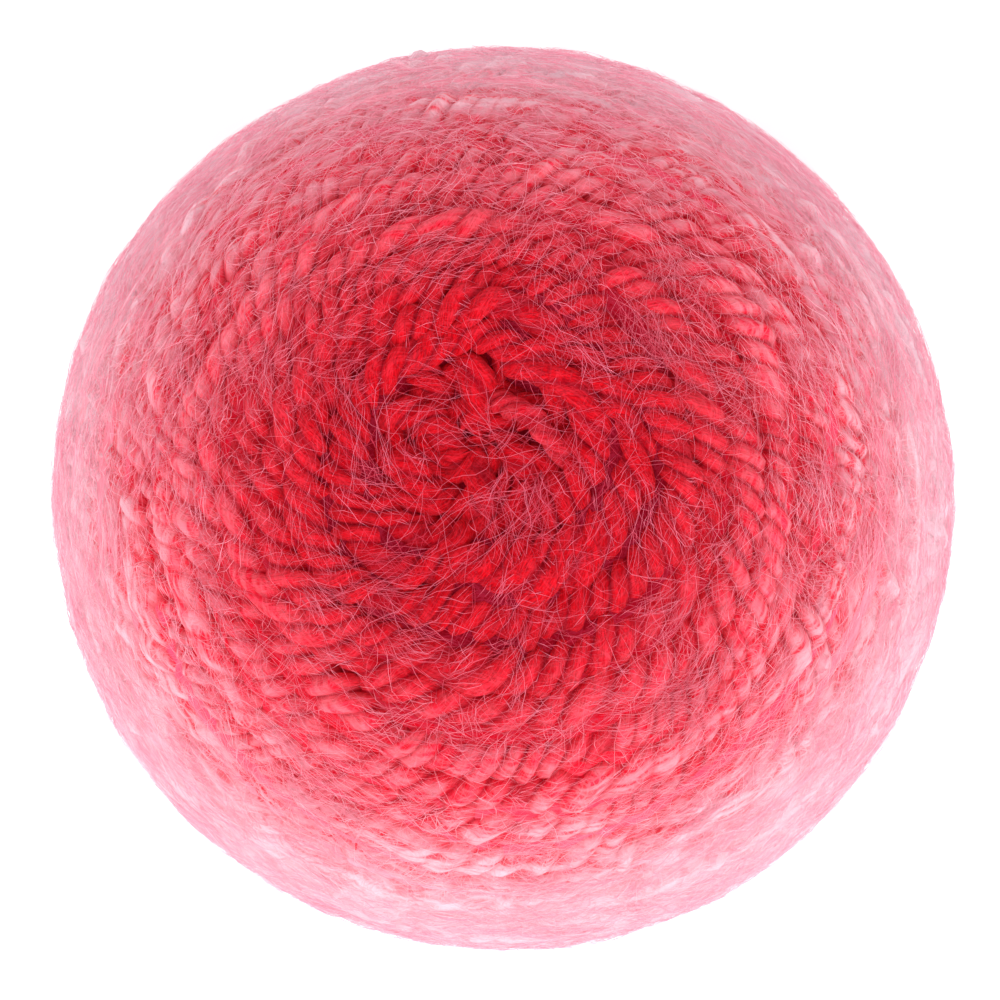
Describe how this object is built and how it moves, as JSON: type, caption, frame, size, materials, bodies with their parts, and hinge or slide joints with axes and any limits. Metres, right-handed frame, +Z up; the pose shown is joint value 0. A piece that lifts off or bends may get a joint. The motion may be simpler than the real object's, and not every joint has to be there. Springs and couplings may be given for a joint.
{
  "type": "skein of yarn",
  "caption": "Round centre-pull skein of thick brushed red yarn, wound in even turns about one axis with a sunken crown, standing on a small flat spot.",
  "frame": {"origin": "middle of the ball's outline at the level of the flat spot it stands on", "axes": "+Z up along the winding axis, from the flat spot to the crown; +X and +Y level, the crown's eye lying a little towards +Y of the axis"},
  "size_m": [0.15, 0.1498, 0.1419],
  "materials": {
    "yarn": "soft brushed wool with a pale halo of fibres"
  },
  "bodies": {
    "root": {"wound_yarn": "yarn"}
  },
  "joints": []
}
